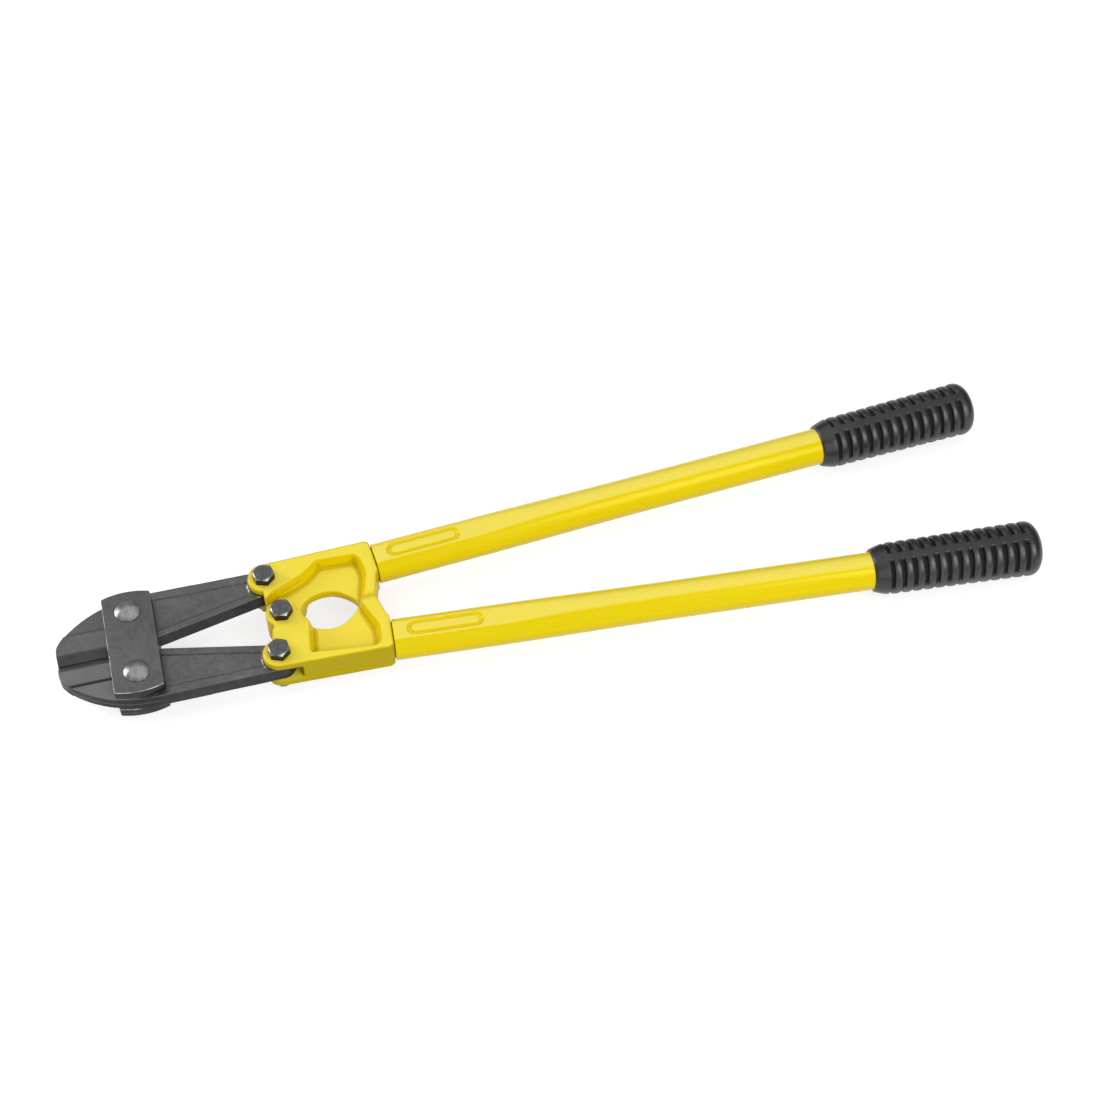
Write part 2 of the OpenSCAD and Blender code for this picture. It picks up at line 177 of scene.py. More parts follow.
def loft(name, rings, cap_first=True, flip=False):
    """Rings of points, each closed, joined in order, with fan caps."""
    rows, cols = rings.shape[:2]
    verts = [rings.reshape(-1, 3)]
    faces = []
    for i in range(rows - 1):
        a, b = i * cols, (i + 1) * cols
        for j in range(cols):
            k = (j + 1) % cols
            faces.append((a + j, a + k, b + k, b + j))
    n = rows * cols
    for cap, ring, last in ((cap_first, 0, False), (True, rows - 1, True)):
        if cap:
            verts.append(rings[ring].mean(0)[None])
            a = ring * cols
            for j in range(cols):
                k = (j + 1) % cols
                faces.append((a + k, n, a + j) if last else (a + j, n, a + k))
            n += 1
    if flip:
        faces = [f[::-1] for f in faces]
    return mesh_from(name, np.concatenate(verts), faces)


def convexity_for_wear_and_shade(me, passes=1, name="wear_and_shade"):
    """Stores how convex the surface is at each vertex: the convex side serves worn edges, the
    concave side painted shade in corners. Each pass spreads it to the neighbours."""
    n = len(me.vertices)
    co = rows_of(me, "co")
    no = rows_of(me, "normal")
    ends = np.zeros(len(me.edges) * 2, int)
    me.edges.foreach_get("vertices", ends)
    a, b = ends.reshape(-1, 2).T
    d = co[b] - co[a]
    d /= np.linalg.norm(d, axis=1)[:, None] + 1e-12
    total, count = np.zeros(n), np.zeros(n)
    np.add.at(total, a, -(no[a] * d).sum(1))
    np.add.at(total, b, (no[b] * d).sum(1))
    np.add.at(count, ends, 1)
    v = total / np.maximum(count, 1)
    for _ in range(passes):
        near = np.zeros(n)
        np.add.at(near, a, v[b])
        np.add.at(near, b, v[a])
        v = (v + near / np.maximum(count, 1)) / 2
    store(me, name, v)


def soft_copy(name, node, voxel, rounds, cut=None):
    """A CAD node's surface, cut at a plane (point, normal) if one is given, then remeshed and
    smoothed so that its edges are soft."""
    me = frame["nodes"][node].data.copy()
    me.materials.clear()
    bm = bmesh.new()
    bm.from_mesh(me)
    bmesh.ops.remove_doubles(bm, verts=bm.verts, dist=1e-6)
    if cut:
        co, no = cut
        geom = bm.verts[:] + bm.edges[:] + bm.faces[:]
        r = bmesh.ops.bisect_plane(bm, geom=geom, plane_co=co, plane_no=no, clear_outer=True)
        rim = [g for g in r["geom_cut"] if isinstance(g, bmesh.types.BMEdge)]
        bmesh.ops.holes_fill(bm, edges=rim, sides=0)
    bm.to_mesh(me)
    bm.free()
    ob = bpy.data.objects.new("work", me)
    bpy.context.scene.collection.objects.link(ob)
    remesh = ob.modifiers.new("remesh", "REMESH")
    remesh.mode = "VOXEL"
    remesh.voxel_size = voxel * MM
    soften = ob.modifiers.new("soften", "SMOOTH")
    soften.factor = 0.5
    soften.iterations = rounds
    dg = bpy.context.evaluated_depsgraph_get()
    out = bpy.data.meshes.new_from_object(ob.evaluated_get(dg))
    bpy.data.objects.remove(ob)
    bpy.data.meshes.remove(me)
    out.name = name
    out.materials.clear()
    return out


def cast_marks(me, side):
    """Foundry marks: two ridges along the beam's sloping wall, a parting ledge outside and a
    soft valley between the stop blocks. Stores where the outer wall is, for its painted shade."""
    flip = np.array([1, side, side])
    p = (rows_of(me, "co") / MM - [0, 0, MID]) * flip
    v = rows_of(me, "normal") * flip
    x, y, z = p.T
    # sloping wall under the beam: it faces across and towards the window
    wall = smooth(v @ np.array([0.5, -0.866, 0.0]), 0.2, 0.5) * (y > 14) * (z > 3.2)
    run = smooth(x, 0.5, 4.5) * (1 - smooth(x, 17.5, 22))
    out = (0.45 * bell(z, 9.0, 0.75) + 0.4 * bell(z, 5.6, 0.7)) * wall * run
    # ledge along the outer wall, on the side of the parting line away from the hub
    outer = smooth(v[:, 1], 0.5, 0.8) * (y > 36) * (x < 65)
    edge = 5.2 + 0.03 * x
    out = out + 0.45 * outer * smooth(z, edge, edge + 0.8)
    # soft valley where the two stop blocks meet
    meet = (1 - smooth(y, 0.4, 4.6)) * smooth(x, 42, 46) * smooth(np.abs(v[:, 2]), 0.3, 0.8)
    # the paint darkens this outer wall, as painted shade
    store(me, "outer", smooth(v[:, 1], 0.3, 0.8) * (y > 30))
    q = p + v * out[:, None]
    q[:, 2] -= 0.95 * meet * np.sign(z)
    move_to(me, q * flip + [0, 0, MID])


def blade_marks(me, side):
    """Stores where a blade is rubbed by the ear beside it; painted shade (dark) on the jaw's
    step, back walls and upper bevel, and painted light (pale) on the lower jaw's top and
    bevel; and raises the forging's parting line along the jaw's back."""
    p = rows_of(me, "co") / MM
    v = rows_of(me, "normal")
    up = np.abs(v[:, 2])
    x, y = p[:, 0], side * p[:, 1]
    away = np.hypot(x - BLADE_PIVOT[0], y - BLADE_PIVOT[1]) - EAR_R
    rub = bell(away, 0.9, 0.45) * smooth(up, 0.5, 0.9) * (x < BLADE_PIVOT[0])
    jaw = 1 - smooth(x, STRAP_LEFT, STRAP_LEFT + 3)
    bevel = jaw * (1 - smooth(y, 5.6, 6.9)) * smooth(up, 0.15, 0.4)
    step = jaw * bell(y, 19.5, 0.75 if side < 0 else 0.5) * (up > 0.1)
    back = smooth(y, 8, 14) * (1 - smooth(x, STRAP_LEFT + 22, STRAP_LEFT + 34))
    wall = back * (1 - smooth(up, 0.25, 0.6))
    seam = bell(p[:, 2], MID + 0.4, 0.55)
    # dark is painted shade on the step, back walls and upper bevel; pale is painted light on the
    # lower jaw
    if side > 0:
        dark = np.maximum.reduce([0.5 * bevel, 0.4 * step, 0.5 * wall])
        pale = 0.0 * jaw
    else:
        dark = np.maximum(0.95 * step, 0.75 * wall * (1 - seam))
        pale = np.maximum(jaw * smooth(up, 0.7, 0.95), 0.8 * bevel) * (1 - step)
    store(me, "rub", rub)
    store(me, "dark", dark)
    store(me, "pale", pale)
    behind_nose = smooth(x, -139, -134)
    move_to(me, p + v * (0.22 * seam * wall * behind_nose)[:, None])


# ---------------------------------------------------------------- materials
class Nodes:
    """Builds a material's nodes; colours may be given as one number, for a grey."""

    def __init__(self, name):
        self.mat = bpy.data.materials.new(name)
        self.mat.use_nodes = True
        self.t = self.mat.node_tree
        self.p = self.t.nodes["Principled BSDF"]
        self.co = self.new("TexCoord")

    def new(self, kind):
        return self.t.nodes.new("ShaderNode" + kind)

    def put(self, value, socket):
        """Links another node's output to a socket, or sets it to a number or colour."""
        if isinstance(value, bpy.types.NodeSocket):
            self.t.links.new(value, socket)
        else:
            socket.default_value = self.rgba(value) if socket.type == "RGBA" else value

    @staticmethod
    def rgba(c):
        return (c, c, c, 1) if isinstance(c, (int, float)) else (*c, 1)

    def set(self, **values):
        """Sets the shader's own sockets, with _ for each space in their names."""
        for name, value in values.items():
            self.put(value, self.p.inputs[name.replace("_", " ")])

    def noise(self, scale, detail=4.0, rough=0.55, stretch=None):
        n = self.new("TexNoise")
        src = self.co.outputs["Object"]
        if stretch:
            m = self.new("Mapping")
            m.inputs["Scale"].default_value = stretch
            self.put(src, m.inputs["Vector"])
            src = m.outputs["Vector"]
        for socket, value in (("Scale", scale), ("Detail", detail), ("Roughness", rough),
                              ("Vector", src)):
            self.put(value, n.inputs[socket])
        return n.outputs["Fac"]

    def ramp(self, fac, low, high):
        """Blends two colours; low and high are (position, colour)."""
        r = self.new("ValToRGB")
        for el, (at, col) in zip(r.color_ramp.elements, (low, high)):
            el.position, el.color = at, self.rgba(col)
        self.put(fac, r.inputs["Fac"])
        return r.outputs["Color"]

    def mix(self, fac, a, b):
        m = self.new("Mix")
        m.data_type = "RGBA"
        for k, v in ((0, fac), (6, a), (7, b)):
            self.put(v, m.inputs[k])
        return m.outputs[2]

    def math(self, op, a, b=0.0):
        m = self.new("Math")
        m.operation = op
        self.put(a, m.inputs[0])
        self.put(b, m.inputs[1])
        return m.outputs[0]

    def span(self, v, lo, hi, a=0.0, b=1.0):
        """A soft step from a, where v is lo, to b, where v is hi."""
        m = self.new("MapRange")
        m.interpolation_type = "SMOOTHSTEP"
        for k, x in (("Value", v), ("From Min", lo), ("From Max", hi),
                     ("To Min", a), ("To Max", b)):
            self.put(x, m.inputs[k])
        return m.outputs["Result"]

    def attr(self, name):
        a = self.new("Attribute")
        a.attribute_name = name
        return a.outputs["Fac"]

    def axis(self, kind, letter):
        """One axis of the object's own coordinates ("Object") or normal ("Normal")."""
        s = self.new("SeparateXYZ")
        self.put(self.co.outputs[kind], s.inputs[0])
        return s.outputs[letter]

    def bump(self, height, strength, distance, base=None):
        b = self.new("Bump")
        b.inputs["Strength"].default_value = strength
        b.inputs["Distance"].default_value = distance
        self.put(height, b.inputs["Height"])
        if base is not None:
            self.put(base, b.inputs["Normal"])
        return b.outputs["Normal"]


YELLOW_DRIFT = (0.82, 0.66, 0.02)
YELLOW_COVE_SHADE = (0.50, 0.36, 0.0)
YELLOW_OUTER_SHADE = (0.53, 0.405, 0.0)
YELLOW_HOLLOW_SHADE = (0.50, 0.355, 0.0)
YELLOW_THIN_AND_HIGHLIGHT = (0.84, 0.72, 0.16)
YELLOW_GLOSS = (1.0, 0.93, 0.2)


def paint(name, rough, spec, peel, lumps, flat, wall, turn, worn=0.0):
    """Yellow enamel, with a painted highlight on the flats (a paler yellow) and painted shade on
    the walls between them (a deeper yellow). The walls start where the surface turns past
    turn. Slow colour drift, faint orange peel and soft lumps; on a worn casting also painted
    shade in coves, hollows and on the outer wall, and paler edges, partly thin paint and
    partly a painted highlight."""
    n = Nodes(name)
    level = n.math("ABSOLUTE", n.axis("Normal", "Z"))
    # painted shade: sloping faces get a deeper copy of the wall yellow; the flats get a paler one,
    # a painted highlight
    col = n.mix(n.span(level, 0.3, 0.8), wall, tuple(0.87 * c for c in wall))
    col = n.mix(n.span(level, *turn), col, flat)
    drift = n.span(n.noise(11, 3), 0.3, 0.7, 0.0, 0.12)
    col = n.mix(drift, col, YELLOW_DRIFT)
    if worn:
        # painted shade: broad concave coves darken, standing in for ambient occlusion
        cove_shade = n.span(n.attr("cove_shade"), -0.003, -0.028, 0.0, 0.7)
        col = n.mix(cove_shade, col, YELLOW_COVE_SHADE)
        # painted shade: the casting's outer wall is darkened
        col = n.mix(n.attr("outer"), col, YELLOW_OUTER_SHADE)
        # painted shade: concave hollows darken, as the shade that falls there
        hollow_shade = n.span(n.attr("wear_and_shade"), -0.015, -0.14)
        col = n.mix(n.math("MULTIPLY", hollow_shade, worn), col, YELLOW_HOLLOW_SHADE)
        # paler convex edges in chips: partly thinner paint, partly a painted highlight along the
        # rims
        edge = n.math("MULTIPLY", n.span(n.attr("wear_and_shade"), 0.05, 0.16),
                      n.span(n.noise(50, 4), 0.35, 0.7, 0.2, 0.8))
        col = n.mix(n.math("MULTIPLY", edge, worn), col, YELLOW_THIN_AND_HIGHLIGHT)
    n.set(Base_Color=col, Roughness=n.span(n.noise(60, 4), 0.3, 0.7, rough, rough + 0.06))
    n.set(Specular_IOR_Level=spec, Specular_Tint=YELLOW_GLOSS)
    h = n.bump(n.noise(380, 2, 0.4), peel, 0.0002)
    n.set(Normal=n.bump(n.noise(70, 3, 0.5), lumps, 0.0006, h))
    return n.mat


def steel(name, tone, worn=None, wear_and_shade=None, patch=0.0):
    """Dark forged steel: faint smudges, fine grain, paler patches, and blacker walls as painted
    shade. With worn, also the blade marks, painted shade in corners, and edges of that grey
    where the attribute wear_and_shade is in the span wear_and_shade."""
    n = Nodes(name)
    grain = n.mix(0.5, n.noise(22, 5, 0.6), n.noise(320, 5, 0.65))
    col = n.ramp(grain, (0.36, tone * 0.80), (0.64, tone * 1.2))
    if patch:
        spot = n.span(n.noise(38, 4, 0.6), 0.56, 0.72)
        col = n.mix(n.math("MULTIPLY", spot, patch), col, tone * 1.9)
    # painted shade: steep walls get a far darker copy of the steel
    face = n.span(n.math("ABSOLUTE", n.axis("Normal", "Z")), 0.05, 0.3)
    wall = n.ramp(n.noise(75, 5, 0.65), (0.35, tone * 0.20), (0.68, tone * 0.44))
    col = n.mix(face, wall, col)
    if worn:
        # painted light from the pale attribute, painted shade from the dark attribute
        col = n.mix(n.math("MULTIPLY", n.attr("pale"), 0.52), col, tone * 1.75)
        col = n.mix(n.attr("dark"), col, tone * 0.12)
        # painted shade: concave corners darken, for the dark lines along the pockets and steps
        corner_shade = n.span(n.attr("wear_and_shade"), -0.03, -0.14, 0.0, 0.95)
        col = n.mix(corner_shade, col, tone * 0.12)
        edge = n.span(n.attr("wear_and_shade"), *wear_and_shade)
        spots = n.span(n.noise(120, 4), 0.46, 0.66)
        col = n.mix(n.math("MULTIPLY", edge, n.math("MAXIMUM", spots, 0.12)), col, worn)
        rub = n.math("MULTIPLY", n.attr("rub"), n.span(n.noise(260, 4), 0.46, 0.6))
        col = n.mix(rub, col, 0.75)
    n.set(Base_Color=col, Metallic=0.85)
    n.set(Roughness=n.span(n.noise(120, 5), 0.3, 0.7, 0.34, 0.48))
    h = n.bump(n.noise(700, 3, 0.6), 0.14, 0.0002)
    n.set(Normal=n.bump(n.noise(45, 5, 0.6), 0.12, 0.0006, h))
    return n.mat


def worn_and_lit_edge(name, dark, bright):
    """The strap's bevels: bright where they face the user's side and the nose, a painted highlight
    broken by spots of bare wear; dull elsewhere.
    """
    n = Nodes(name)
    side = n.math("ADD", n.math("MULTIPLY", n.axis("Normal", "X"), -1.0),
                  n.math("MULTIPLY", n.axis("Normal", "Y"), -0.9))
    # painted highlight: bevels facing the user's side and the nose are brighter
    bare = n.span(side, 0.15, 0.5, 0.12, 1.0)
    spots = n.span(n.noise(130, 4, 0.6), 0.34, 0.6, 0.25, 1.0)
    col = n.mix(n.math("MULTIPLY", bare, spots), dark, bright)
    n.set(Base_Color=col, Metallic=0.9, Roughness=0.33)
    n.set(Normal=n.bump(n.noise(260, 4), 0.25, 0.0004))
    return n.mat


def turned(name, base, bright, shaded_flank, ring=0.0, spread=0.7, rough=(0.26, 0.4), pit=0.22,
           rim=(0.15, 0.5)):
    """Fastener steel: bright chamfers (chipped wear and a painted highlight), dark flanks below
    the rim as painted shade, faint turning marks on top (ring sets how close together)."""
    n = Nodes(name)
    tone = n.ramp(n.noise(240, 7, 0.7), (0.36, base * spread), (0.64, base * 1.15))
    z = n.axis("Normal", "Z")
    # painted shade: flanks below the rim are dark, the dome's dark outline among them
    col = n.mix(n.span(z, *rim), shaded_flank, tone)
    if bright:
        # bright chamfers: chipped wear, and partly a painted highlight
        chamfer = n.math("MULTIPLY", n.span(z, 0.5, 0.7), n.span(z, 0.995, 0.95))
        chips = n.span(n.noise(170, 3), 0.38, 0.6, 0.15, 1.0)
        col = n.mix(n.math("MULTIPLY", chamfer, chips), col, bright)
    n.set(Base_Color=col, Metallic=0.9, Roughness=n.span(n.noise(150, 4), 0.3, 0.7, *rough))
    h = n.bump(n.noise(300, 5, 0.65), pit, 0.0004)
    if ring:
        x, y = n.axis("Object", "X"), n.axis("Object", "Y")
        r = n.math("SQRT", n.math("ADD", n.math("MULTIPLY", x, x), n.math("MULTIPLY", y, y)))
        h = n.bump(n.math("SINE", n.math("MULTIPLY", r, ring)), 0.12, 0.0001, h)
    n.set(Normal=h)
    return n.mat


def rubber(name):
    """Moulded rubber: satin ribs with faint scuffs, near-black grooves as painted shade."""
    n = Nodes(name)
    col = n.ramp(n.noise(60, 5), (0.35, 0.009), (0.7, 0.016))
    scuff = n.span(n.noise(150, 5, 0.65, (1.0, 0.25, 0.25)), 0.5, 0.7, 0.0, 0.5)
    col = n.mix(n.math("MULTIPLY", scuff, n.attr("crest")), col, 0.06)
    # painted shade: the grooves are made near black
    col = n.mix(n.attr("groove"), col, 0.002)
    sheen = n.span(n.noise(110, 5, 0.65), 0.35, 0.68, 0.29, 0.40)
    n.set(Base_Color=col, Roughness=n.mix(n.attr("groove"), sheen, 0.9))
    n.set(Specular_IOR_Level=0.55)
    h = n.bump(n.noise(900, 2, 0.5), 0.12, 0.0002)
    n.set(Normal=n.bump(n.noise(160, 3), 0.15, 0.0005, h))
    return n.mat


M_TUBE = paint("tube_enamel", rough=0.15, spec=0.30, peel=0.010, lumps=0.005,
               flat=(0.762, 0.630, 0.088), wall=(0.82, 0.628, 0.0), turn=(0.885, 0.96))
M_CAST = paint("casting_enamel", rough=0.36, spec=0.17, peel=0.05, lumps=0.05,
               flat=(0.775, 0.628, 0.060), wall=(0.75, 0.555, 0.0), turn=(0.86, 0.99), worn=0.6)
# bare tang, made near black as painted shade in the gap between casting and tube
M_BARE_SHADED_TANG = steel("bare_tang_painted_shade", 0.012)
M_BLADE = steel("forged_blade", 0.106, worn=0.32, wear_and_shade=(0.10, 0.24), patch=0.3)
M_STRAP = steel("strap_steel", 0.101, patch=0.25)
M_EDGE = worn_and_lit_edge("worn_and_lit_edge", 0.06, 0.5)
M_DOME = turned("dome_steel", 0.27, bright=0, shaded_flank=0.02, spread=0.66, rough=(0.25, 0.36),
                pit=0.13, rim=(0.60, 0.74))
M_HEX = turned("hex_steel", 0.106, bright=0.40, shaded_flank=0.03, ring=9000)
M_NUT = turned("nut_steel", 0.3, bright=0.4, shaded_flank=0.12)
M_GRIP = rubber("grip_rubber")


# ---------------------------------------------------------------- tubes
def build_tube(side, name, node, body):
    s = np.concatenate([np.linspace(TUBE_START, CAST_END + 1.4, 4),
                        np.arange(CAST_END + 1.8, 132, 0.55), np.arange(132, 260, 2.5),
                        np.linspace(260, TUBE_END, 12)])
    S, T = np.meshgrid(s, round_steps(256), indexing="ij")
    # an oval that turns round, cut to flats with soft corners
    k = smooth(S, FLAT_START, ROUND_START)
    t = (FLAT_W + (TUBE_R - FLAT_W) * k) * np.cos(T)
    z = (OVAL_H + (TUBE_R - OVAL_H) * k) * np.sin(T)
    clip = FLAT_H + 0.12 + (TUBE_R + 1.4 - FLAT_H) * smooth(S, FLAT_START, FLAT_GONE)
    soft = 0.32
    z = np.sign(z) * (clip - soft * np.log1p(np.exp((clip - np.abs(z)) / soft)))
    # pressed obround ring on both flats
    along = S - RING_AT
    d = np.hypot(along - np.clip(along, -RING_HALF, RING_HALF), t)
    ring = np.where(d < RING_R, 1.15 * (RING_R - d), 0.8 * (d - RING_R))
    press = RING_DEEP * (1 - smooth(ring, 0.25, 1.5))
    press += 0.25 * (1 - smooth(d, 2.6, 4.6))
    z = z - np.sign(z) * press * (np.abs(z) > 6)
    # rolled-in edge at the joint
    roll = 0.55 * (1 - smooth(S, TUBE_START, CAST_END + 1.4)) ** 2
    f = 1 - roll / np.hypot(t, z)
    outside = handle_point(S, t * f, z * f, side)
    inside = [handle_point(S[0] + deep, t[0] * 0.88, z[0] * 0.86, side)[None] for deep in (9, 0)]
    me = loft(name, np.concatenate(inside + [outside]), cap_first=False)
    return finish_mesh(name, me, [M_TUBE], body, [node], 40)


# ---------------------------------------------------------------- grips
def build_grip(side, name, node, body):
    L = GRIP_LEN
    dome = L - GRIP_DOME
    s = np.concatenate([np.linspace(0, dome, 330),
                        dome + GRIP_DOME * np.sin(np.linspace(0, 1, 34)[1:] * TURN / 4)])
    n = 208
    S, T = np.meshgrid(s, round_steps(n), indexing="ij")
    # collar, then a slow flare to the closed end
    top = 14.1 + 2.9 * np.sin(np.clip(S / 12.0, 0, 1) * TURN / 4) ** 1.2
    top = top + 1.2 * np.clip((S - 10) / (L - 19), 0, 1)
    top = top - 0.9 * (1 - smooth(S, 0, 1.4)) ** 2
    # grooves, broken by four lengthwise spines
    step = (S - GROOVE_FIRST) / GROOVE_PITCH
    i = np.clip(np.floor(step), -1, GROOVES)
    u = (step - i) * GROOVE_PITCH
    ribbed = (i >= 0) & (i < GROOVES)
    around = T - GRIP_TURN
    spine = np.abs((around + TURN / 8) % (TURN / 4) - TURN / 8) * SKIN_R
    g = smooth(u, 0.0, 0.45) * (1 - smooth(u, GROOVE_WIDE - 0.45, GROOVE_WIDE)) * ribbed
    g = g * smooth(spine, 2.5, 3.3)
    # crowned ribs; the last one runs on level into the closed end
    v = np.clip((u - GROOVE_WIDE) / (GROOVE_PITCH - GROOVE_WIDE), 0, 1)
    v = np.where(i == GROOVES - 1, np.minimum(v, 0.5), v)
    crown = 0.42 * (np.sin(v * TURN / 2) ** 0.55 - 0.7) * ribbed * smooth(spine, 1.8, 4.5)
    r = top + crown - GROOVE_DEEP * g
    # moulding seam along the two spines that face up and down
    seam = np.minimum(np.abs(around - TURN / 4), np.abs(around - 3 * TURN / 4)) * SKIN_R
    r = r + 0.13 * bell(seam, 0, 0.4) * smooth(S, 2, 4)
    # closed end: flat with a generous round edge
    q = np.clip((S - dome) / GRIP_DOME, 0, 1)
    r = r * np.sqrt(np.clip(1 - q ** 2.6, 0, 1)) ** 0.9
    outside = handle_point(GRIP_END - L + S, r * np.cos(T), r * np.sin(T), side)
    mouth = GRIP_MOUTH_R * np.cos(T[0]), GRIP_MOUTH_R * np.sin(T[0])
    inside = [handle_point(GRIP_END - L + deep + 0 * T[0], *mouth, side)[None] for deep in (3, 0)]
    me = loft(name, np.concatenate(inside + [outside]), cap_first=False)
    crest = ribbed * smooth(spine, 2.5, 6) * (1 - smooth(g, 0.0, 0.1))
    for mark, values in (("groove", smooth(g, 0.25, 0.8)), ("crest", crest)):
        store(me, mark, np.concatenate([np.zeros(2 * n), values.ravel(), [0.0]]))
    return finish_mesh(name, me, [M_GRIP], body, [node], 60)


# ---------------------------------------------------------------- straps
def build_strap(name, node):
    """A plate with two straight sides and two curved ends, and bevels all round, worn bare in spots
    and brightened by a painted highlight.
    """
    lo, hi = box_mm(node)
    cx, w = (lo[0] + hi[0]) / 2, (hi[0] - lo[0]) / 2
    sag = (hi[1] - lo[1]) / 2 - STRAP_CORNER
    R = (w * w + sag * sag) / (2 * sag)
    edge = STRAP_CORNER - 1.0
    out = []
    for q in (1, -1):
        for x in np.linspace(w - 0.4, 0.4 - w, 25) * q:
            y = (STRAP_CORNER + sag - R + math.sqrt(R * R - x * x)) * q
            out.append((cx + x, y))
        out.append((cx - w * q, edge * q))
        out.append((cx - w * q, -edge * q))
    n = len(out)
    bm = bmesh.new()
    vs = [bm.verts.new(np.array((x, y, z)) * MM) for z in (lo[2], hi[2]) for x, y in out]
    bm.faces.new(vs[:n][::-1])
    bm.faces.new(vs[n:])
    for j in range(n):
        k = (j + 1) % n
        bm.faces.new((vs[j], vs[k], vs[n + k], vs[n + j]))
    bm.normal_update()
    rim = [e for e in bm.edges if abs(e.verts[0].co.z - e.verts[1].co.z) < 1e-7]
    made = bmesh.ops.bevel(bm, geom=rim, offset=0.55 * MM, segments=3, profile=0.6,
                           affect="EDGES", clamp_overlap=True)
    for f in made["faces"]:
        f.material_index = 1
    me = bpy.data.meshes.new(name)
    bm.to_mesh(me)
    bm.free()
    return finish_mesh(name, me, [M_STRAP, M_EDGE], "head_straps", [node], 30)


# ---------------------------------------------------------------- fasteners
def lathe(name, profile, at, mat, body, replaces, n=72, sharp=35):
    """A turned piece: profile is (radius, height) from bottom to top, at is its foot."""
    me = loft(name, rings_of(profile, round_steps(n)))
    return place(finish_mesh(name, me, [mat], body, replaces, sharp), at, body)


def hex_rings(h, turn, top=0.89):
    """A hexagon's prism with a turned chamfer; top is the flat's share of the size across."""
    th = round_steps(180)
    inner = HEX_AF / 2
    local = (np.degrees(th) - turn + 30) % 60 - 30
    r = np.minimum(inner / np.cos(np.radians(local)), inner * 1.132)
    rt = inner * top
    drop = (r - rt) * math.tan(math.radians(30))
    return rings_of([(r * 0.985, 0), (r, 0.15), (r, h - drop), (r * 0.993, h - drop + 0.06),
                     (rt, h), (rt - 0.5, h - 0.02), (rt * 0.5, h - 0.05)], th)


def hex_head(name, node, xy, turn, body):
    me = loft(name, hex_rings(HEAD_H, turn))
    lo, hi = box_mm(node)
    foot = [xy[0], xy[1], MID + CAST_H]
    ob = finish_mesh(name, me, [M_HEX], body, [node], 25)
    place(ob, foot, body)
    tip = lo[2] - hi[2] + HEAD_H
    lathe(name + "_shank", [(3.4, tip), (4.0, tip + 0.6), (4.0, 0.05)], foot, M_NUT, body,
          ())
    return ob


def nut(name, node, xy, body, turn):
    """A lock nut, hanging from its upper face: a hexagon, then the collar that holds its insert."""
    lo, hi = box_mm(node)
    h = hi[2] - lo[2]
    hexagon = hex_rings(h * 0.75, turn, 0.95)
    collar = rings_of([(5.6, h * 0.76), (5.55, h * 0.93), (5.1, h), (4.15, h), (4.1, h - 1.2)],
                      round_steps(180))
    rings = np.concatenate([hexagon[:5], collar])
    rings[:, :, 2] = -rings[:, :, 2]
    me = loft(name, rings, flip=True)
    ob = finish_mesh(name, me, [M_NUT], body, [node], 25)
    return place(ob, [xy[0], xy[1], hi[2]], body)


def washer(name, node, xy, body):
    lo, hi = box_mm(node)
    h = hi[2] - lo[2]
    return lathe(name, [(7.5, 0.0), (7.8, 0.25), (7.8, h - 0.25), (7.6, h)],
                 [xy[0], xy[1], lo[2]], M_NUT, body, [node])


def dome_bolt(name, node, xy):
    """A low dome on a short straight edge, and the bolt's end under the tool."""
    lo, hi = box_mm(node)
    foot = [xy[0], xy[1], STRAP_TOP]
    h, r = 0.86 * (hi[2] - STRAP_TOP), 0.96 * (hi[0] - lo[0]) / 2
    rise = h - 0.35
    R = (r * r + rise ** 2) / (2 * rise)
    profile = [(r - 0.25, 0.0), (r, 0.2)]
    for x in r * np.linspace(1, 0.06, 20):
        profile.append((x, h - R + math.sqrt(R * R - x * x)))
    ob = lathe(name, profile, foot, M_DOME, "head_straps", [node], 96, 50)
    tip = lo[2] - STRAP_TOP
    lathe(name + "_shank", [(3.4, tip), (4.0, tip + 0.6), (4.0, tip + 12)], foot, M_NUT,
          "head_straps", ())
    return ob


# ---------------------------------------------------------------- castings and blades
def build_casting(side, half, body):
    """The casting with soft edges; its tang is cut short inside the tube and left bare, in a
    near-black steel that is painted shade for the gap at the joint.
    """
    axis = Vector((math.cos(ANGLE), side * math.sin(ANGLE), 0))
    tang_cut = Vector(handle_point(CAST_END + 4, 0, 0, side) * MM)
    name = half + "_casting_soft"
    me = soft_copy(name, half + "_casting", 0.5, 26, (tang_cut, axis))
    cast_marks(me, side)
    convexity_for_wear_and_shade(me)
    # broad concavity, which the paint reads to darken the coves as painted shade
    convexity_for_wear_and_shade(me, 16, "cove_shade")
    finish_mesh(name, me, [M_CAST, M_BARE_SHADED_TANG], body, [half + "_casting"], 0)
    start = Vector(handle_point(CAST_END, 0, 0, side) * MM)
    for p in me.polygons:
        if (p.center - start).dot(axis) > 0.15 * MM:
            p.material_index = 1


def build_blade(side, half):
    name = half + "_blade_forged"
    me = soft_copy(name, half + "_blade", 0.36, 2)
    convexity_for_wear_and_shade(me)
    blade_marks(me, side)
    finish_mesh(name, me, [M_BLADE], "blade_" + half, [half + "_blade"], 0)


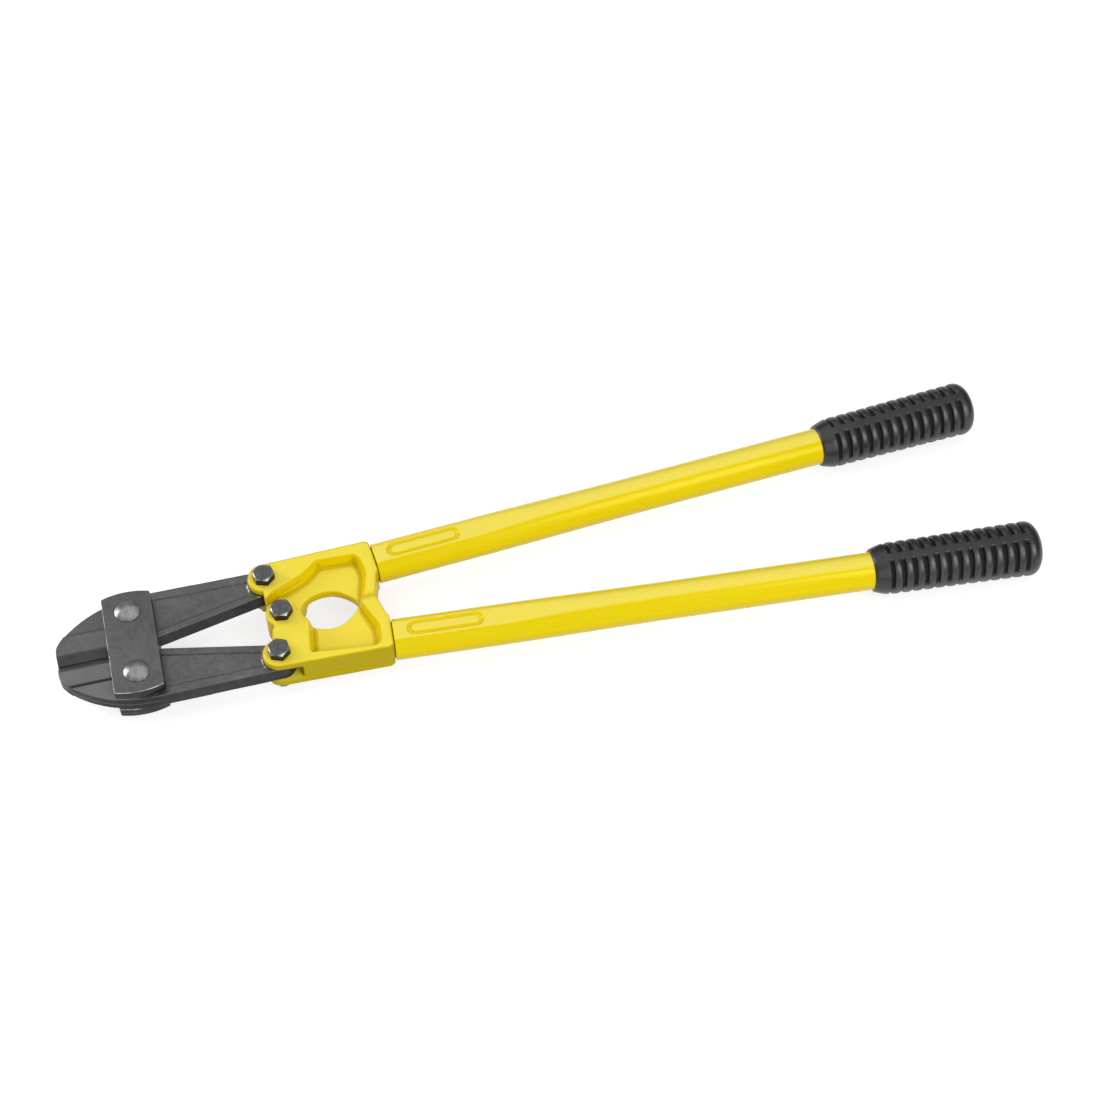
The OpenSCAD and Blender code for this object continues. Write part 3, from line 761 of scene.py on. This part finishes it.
# ---------------------------------------------------------------- build
for side, half in ((1, "upper"), (-1, "lower")):
    handle = "handle_" + half
    build_tube(side, half + "_tube_shell", half + "_tube", handle)
    build_grip(side, half + "_grip_rubber", half + "_grip", handle)
    build_casting(side, half, handle)
    build_blade(side, half)
    jaw, blade = JAW_PIVOT * [1, side], BLADE_PIVOT * [1, side]
    dome_bolt(half + "_jaw_bolt_dome", half + "_jaw_bolt", jaw)
    nut(half + "_jaw_nut_hex", half + "_jaw_nut", jaw, "head_straps", 14 * side)
    washer(half + "_jaw_washer_flat", half + "_jaw_washer", jaw, "head_straps")
    hex_head(half + "_blade_bolt_hex", half + "_blade_bolt", blade, 12 if side > 0 else 8, handle)
    nut(half + "_blade_nut_hex", half + "_blade_nut", blade, handle, 21 * side)
    washer(half + "_blade_washer_flat", half + "_blade_washer", blade, handle)

hex_head("centre_bolt_hex", "centre_bolt", (0, 0), 20, "handle_lower")
nut("centre_nut_hex", "centre_nut", (0, 0), "handle_lower", 5)
washer("centre_washer_flat", "centre_washer", (0, 0), "handle_lower")
build_strap("strap_top_plate", "strap_top")
build_strap("strap_bottom_plate", "strap_bottom")

# ---------------------------------------------------------------- floor and world
# the tool lies on its bolt ends and, 488 mm away, on its grips
TILT = math.atan2(MID - 18.45, 488.0)
FLOOR_HALF = 6000
FLOOR_GLOW = 0.72        # with the light on it, the floor is then white to the camera
me = mesh_from("floor", np.array([(x * FLOOR_HALF, y * FLOOR_HALF, 0) for x, y in
                                  ((-1, -1), (1, -1), (1, 1), (-1, 1))]), [(0, 1, 2, 3)])
floor = bpy.data.objects.new("floor", me)
bpy.context.scene.collection.objects.link(floor)
floor.rotation_euler = (0, -TILT, 0)
floor.location = (0, 0, -0.0003)
n = Nodes("pale_floor")
n.t.nodes.remove(n.p)
diffuse, glow = n.new("BsdfDiffuse"), n.new("Emission")
both, path = n.new("AddShader"), n.new("LightPath")
diffuse.inputs["Color"].default_value = n.rgba(0.42)
seen = n.math("MAXIMUM", path.outputs["Is Camera Ray"], path.outputs["Is Glossy Ray"])
seen = n.math("MAXIMUM", seen, path.outputs["Is Transmission Ray"])
n.put(n.math("MULTIPLY", seen, FLOOR_GLOW), glow.inputs["Strength"])
n.put(diffuse.outputs[0], both.inputs[0])
n.put(glow.outputs[0], both.inputs[1])
n.put(both.outputs[0], n.t.nodes["Material Output"].inputs["Surface"])
me.materials.append(n.mat)

world = bpy.data.worlds.new("studio")
bpy.context.scene.world = world
world.use_nodes = True
t = world.node_tree
direction = t.nodes.new("ShaderNodeTexCoord")
sep = t.nodes.new("ShaderNodeSeparateXYZ")
fade = t.nodes.new("ShaderNodeMapRange")             # a little dimmer towards the grips
for k, x in (("From Min", -1.0), ("From Max", 1.0), ("To Min", 0.3), ("To Max", 0.2)):
    fade.inputs[k].default_value = x
t.links.new(direction.outputs["Generated"], sep.inputs[0])
t.links.new(sep.outputs["X"], fade.inputs["Value"])
t.links.new(fade.outputs["Result"], t.nodes["Background"].inputs["Strength"])
t.nodes["Background"].inputs["Color"].default_value = (1.0, 1.0, 1.0, 1.0)


# ---------------------------------------------------------------- lights, in metres and watts
def area(name, at, to, size, power):
    d = bpy.data.lights.new(name, "AREA")
    d.shape = "RECTANGLE"
    d.size, d.size_y = size
    d.energy = power
    o = bpy.data.objects.new(name, d)
    bpy.context.scene.collection.objects.link(o)
    o.location = at
    o.rotation_mode = "QUATERNION"
    o.rotation_quaternion = (Vector(to) - Vector(at)).to_track_quat("-Z", "Y")


area("overhead", (-0.05, 0.65, 1.3), (-0.05, 0.65, 0), (2.1, 2.1), 14)
area("front", (0.25, -1.55, 1.0), (0.2, 0, 0), (2.8, 1.6), 17)
area("grip_strip", (0.83, -1.05, 1.1), (0.45, 0, 0), (0.4, 1.0), 9)
area("left", (-1.3, 0.9, 0.6), (-0.05, 0, 0), (0.8, 1.0), 14)

# ---------------------------------------------------------------- camera
CAM_AZ, CAM_EL = math.radians(-14.28), math.radians(53.387)
CAM_FAR = 1323.55                                    # mm from its target
CAM_FOCAL, FRAME_W, SENSOR = 1994.86, 1100, 36       # pixels, pixels, mm
target = Vector((181.33, 13.83, MID))
back = Vector((math.sin(CAM_AZ) * math.cos(CAM_EL), -math.cos(CAM_AZ) * math.cos(CAM_EL),
               math.sin(CAM_EL)))
cam = bpy.data.cameras.new("camera")
cam.sensor_width = SENSOR
cam.lens = CAM_FOCAL / FRAME_W * SENSOR
cam.clip_end = 50
cam_ob = bpy.data.objects.new("camera", cam)
bpy.context.scene.collection.objects.link(cam_ob)
cam_ob.location = (target + back * CAM_FAR) * MM
cam_ob.rotation_mode = "QUATERNION"
cam_ob.rotation_quaternion = (-back).to_track_quat("-Z", "Y")
bpy.context.scene.camera = cam_ob
bpy.context.scene.view_settings.view_transform = "Standard"
